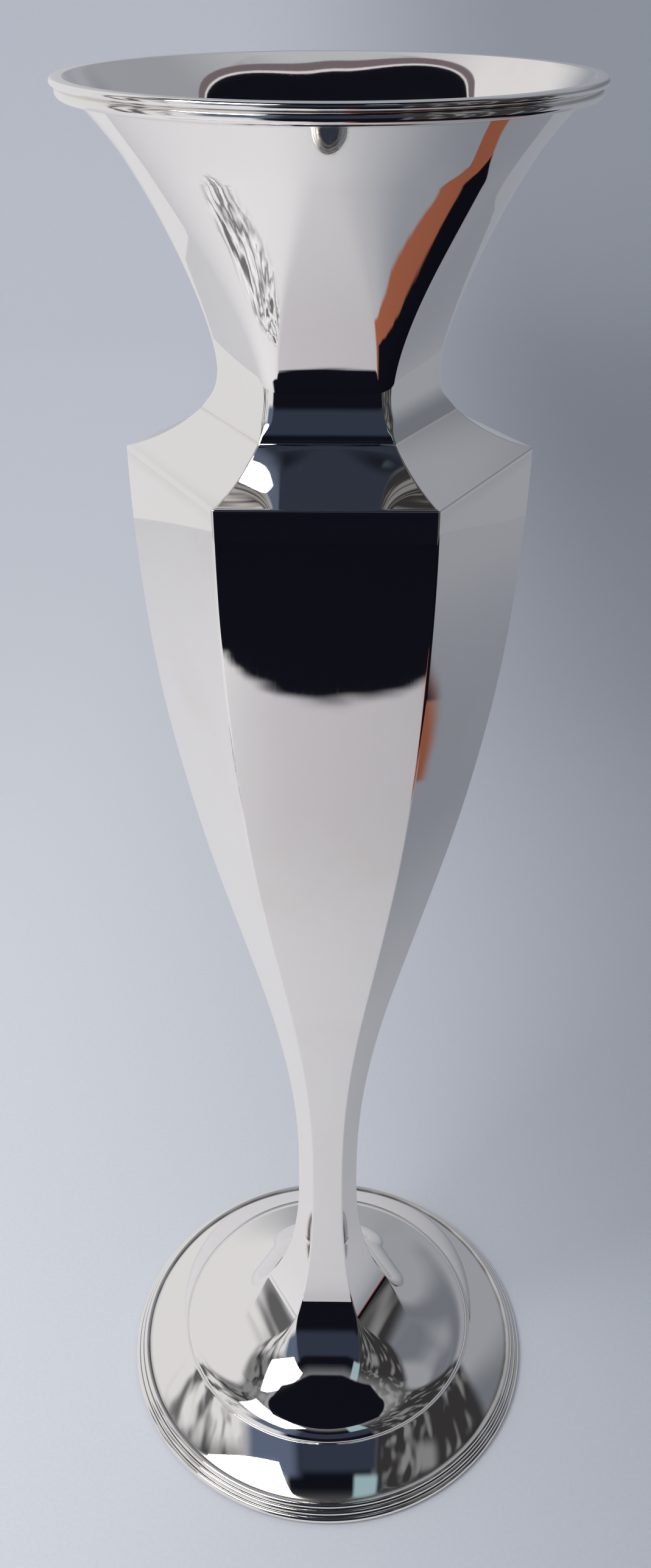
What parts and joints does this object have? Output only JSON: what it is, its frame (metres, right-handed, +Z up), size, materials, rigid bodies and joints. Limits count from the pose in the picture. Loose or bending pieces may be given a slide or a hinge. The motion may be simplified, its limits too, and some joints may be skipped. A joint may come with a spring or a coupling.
{
  "type": "silver vase",
  "caption": "Tall polished silver flower vase with a flared round mouth, a hexagonal tapering body, a slim stem and a round domed foot.",
  "frame": {"origin": "centre of the foot, on the surface that the vase stands on", "axes": "+Z up along the vase's axis, -Y out of the middle of one flat side, +X through a corner"},
  "size_m": [0.154, 0.154, 0.457],
  "materials": {
    "polished_silver": "mirror polished silver with fine wiping marks",
    "plain_silver": "unpolished silver, dull from soldering"
  },
  "bodies": {
    "root": {"foot_rim_wire": "polished_silver", "foot": "polished_silver", "stem_plug": "plain_silver", "body_panel_1": "polished_silver", "body_panel_2": "polished_silver", "body_panel_3": "polished_silver", "body_panel_4": "polished_silver", "body_panel_5": "polished_silver", "body_panel_6": "polished_silver", "shoulder_panel_1": "polished_silver", "shoulder_panel_2": "polished_silver", "shoulder_panel_3": "polished_silver", "shoulder_panel_4": "polished_silver", "shoulder_panel_5": "polished_silver", "shoulder_panel_6": "polished_silver", "trumpet_neck": "polished_silver", "mouth_rim_wire": "polished_silver"}
  },
  "joints": []
}
